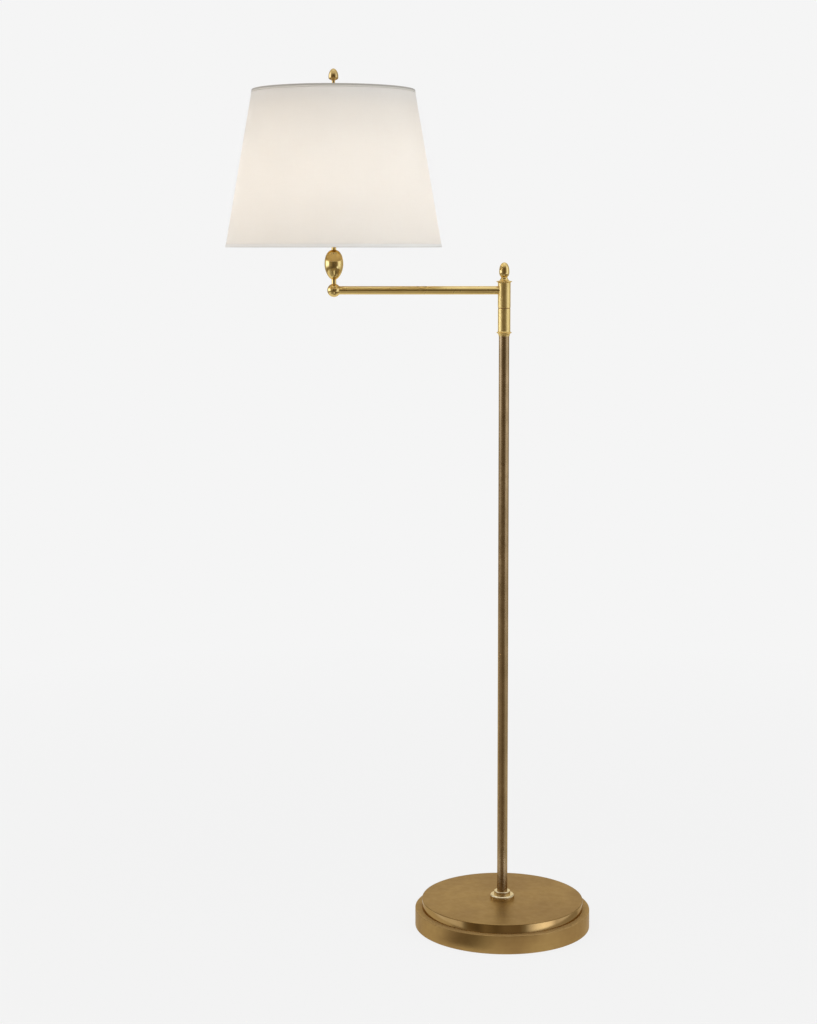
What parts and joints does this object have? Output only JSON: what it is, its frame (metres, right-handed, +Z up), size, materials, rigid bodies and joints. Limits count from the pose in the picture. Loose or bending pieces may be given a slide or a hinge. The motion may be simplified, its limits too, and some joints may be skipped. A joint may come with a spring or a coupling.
{
  "type": "bridge floor lamp",
  "caption": "Bridge floor lamp with a weighted stepped round foot, a slim column, and a swivelling arm that carries a linen drum shade on a harp.",
  "frame": {"origin": "on the floor at the centre of the foot, under the column", "axes": "+Z up along the column; at rest the arm points along -X and the cord inlet faces +Y"},
  "size_m": [0.5606, 0.3302, 1.3249],
  "materials": {
    "felt": "felt",
    "iron": "rough",
    "brushed_brass": "brushed",
    "polished_brass": "polished",
    "aged_brass": "satin",
    "steel": "satin",
    "rubber": "matte",
    "fibre": "matte",
    "cardboard": "matte",
    "phenolic": "gloss",
    "glass": "frosted",
    "wire": "satin",
    "linen": "woven",
    "hem": "woven"
  },
  "bodies": {
    "stand": {"felt_pad": "felt", "base_weight": "iron", "base_shell": "brushed_brass", "cord_bushing": "rubber", "base_washer": "steel", "base_nut": "steel", "base_nipple": "steel", "column_plug": "steel", "foot_collar": "polished_brass", "column": "aged_brass", "neck_ring": "polished_brass", "swivel_sleeve": "polished_brass", "swivel_spindle": "steel", "stop_pin": "steel", "fibre_washer": "fibre", "disc_spring": "steel", "spindle_nut": "steel"},
    "arm": {"swivel_head": "polished_brass", "head_cap": "polished_brass", "head_knob": "polished_brass", "arm_tube": "polished_brass", "elbow_ball": "polished_brass", "riser_pipe": "polished_brass", "egg_ornament": "polished_brass", "jam_nut": "polished_brass", "harp_saddle": "polished_brass", "harp": "polished_brass", "holder_cap": "polished_brass", "holder_shell": "polished_brass", "holder_liner": "cardboard", "holder_core": "phenolic", "terminal_screws": "polished_brass", "screw_shell": "aged_brass", "centre_contact": "aged_brass", "bulb_cap": "steel", "bulb_glass": "glass", "shade_spider": "wire", "shade_bottom_ring": "wire", "shade_panel": "linen", "top_hem": "hem", "bottom_hem": "hem", "shade_finial": "polished_brass"},
    "key": {"switch_key": "phenolic"},
    "left_sleeve": {"ferrule_left": "polished_brass"},
    "right_sleeve": {"ferrule_right": "polished_brass"}
  },
  "joints": [
    {"name": "arm_swivel", "type": "hinge", "parent": "stand", "child": "arm", "pos_m": [0, 0, 0.9891], "axis": [0, 0, 1], "range_deg": [-160, 160]},
    {"name": "key_turn", "type": "hinge", "parent": "arm", "child": "key", "pos_m": [-0.26, -0.025, 1.08666], "axis": [0, -1, 0], "continuous": true},
    {"name": "ferrule_left_slide", "type": "slide", "parent": "arm", "child": "left_sleeve", "axis": [0, 0, 1], "range_m": [0, 0.008]},
    {"name": "ferrule_right_slide", "type": "slide", "parent": "arm", "child": "right_sleeve", "axis": [0, 0, 1], "range_m": [0, 0.008]}
  ]
}
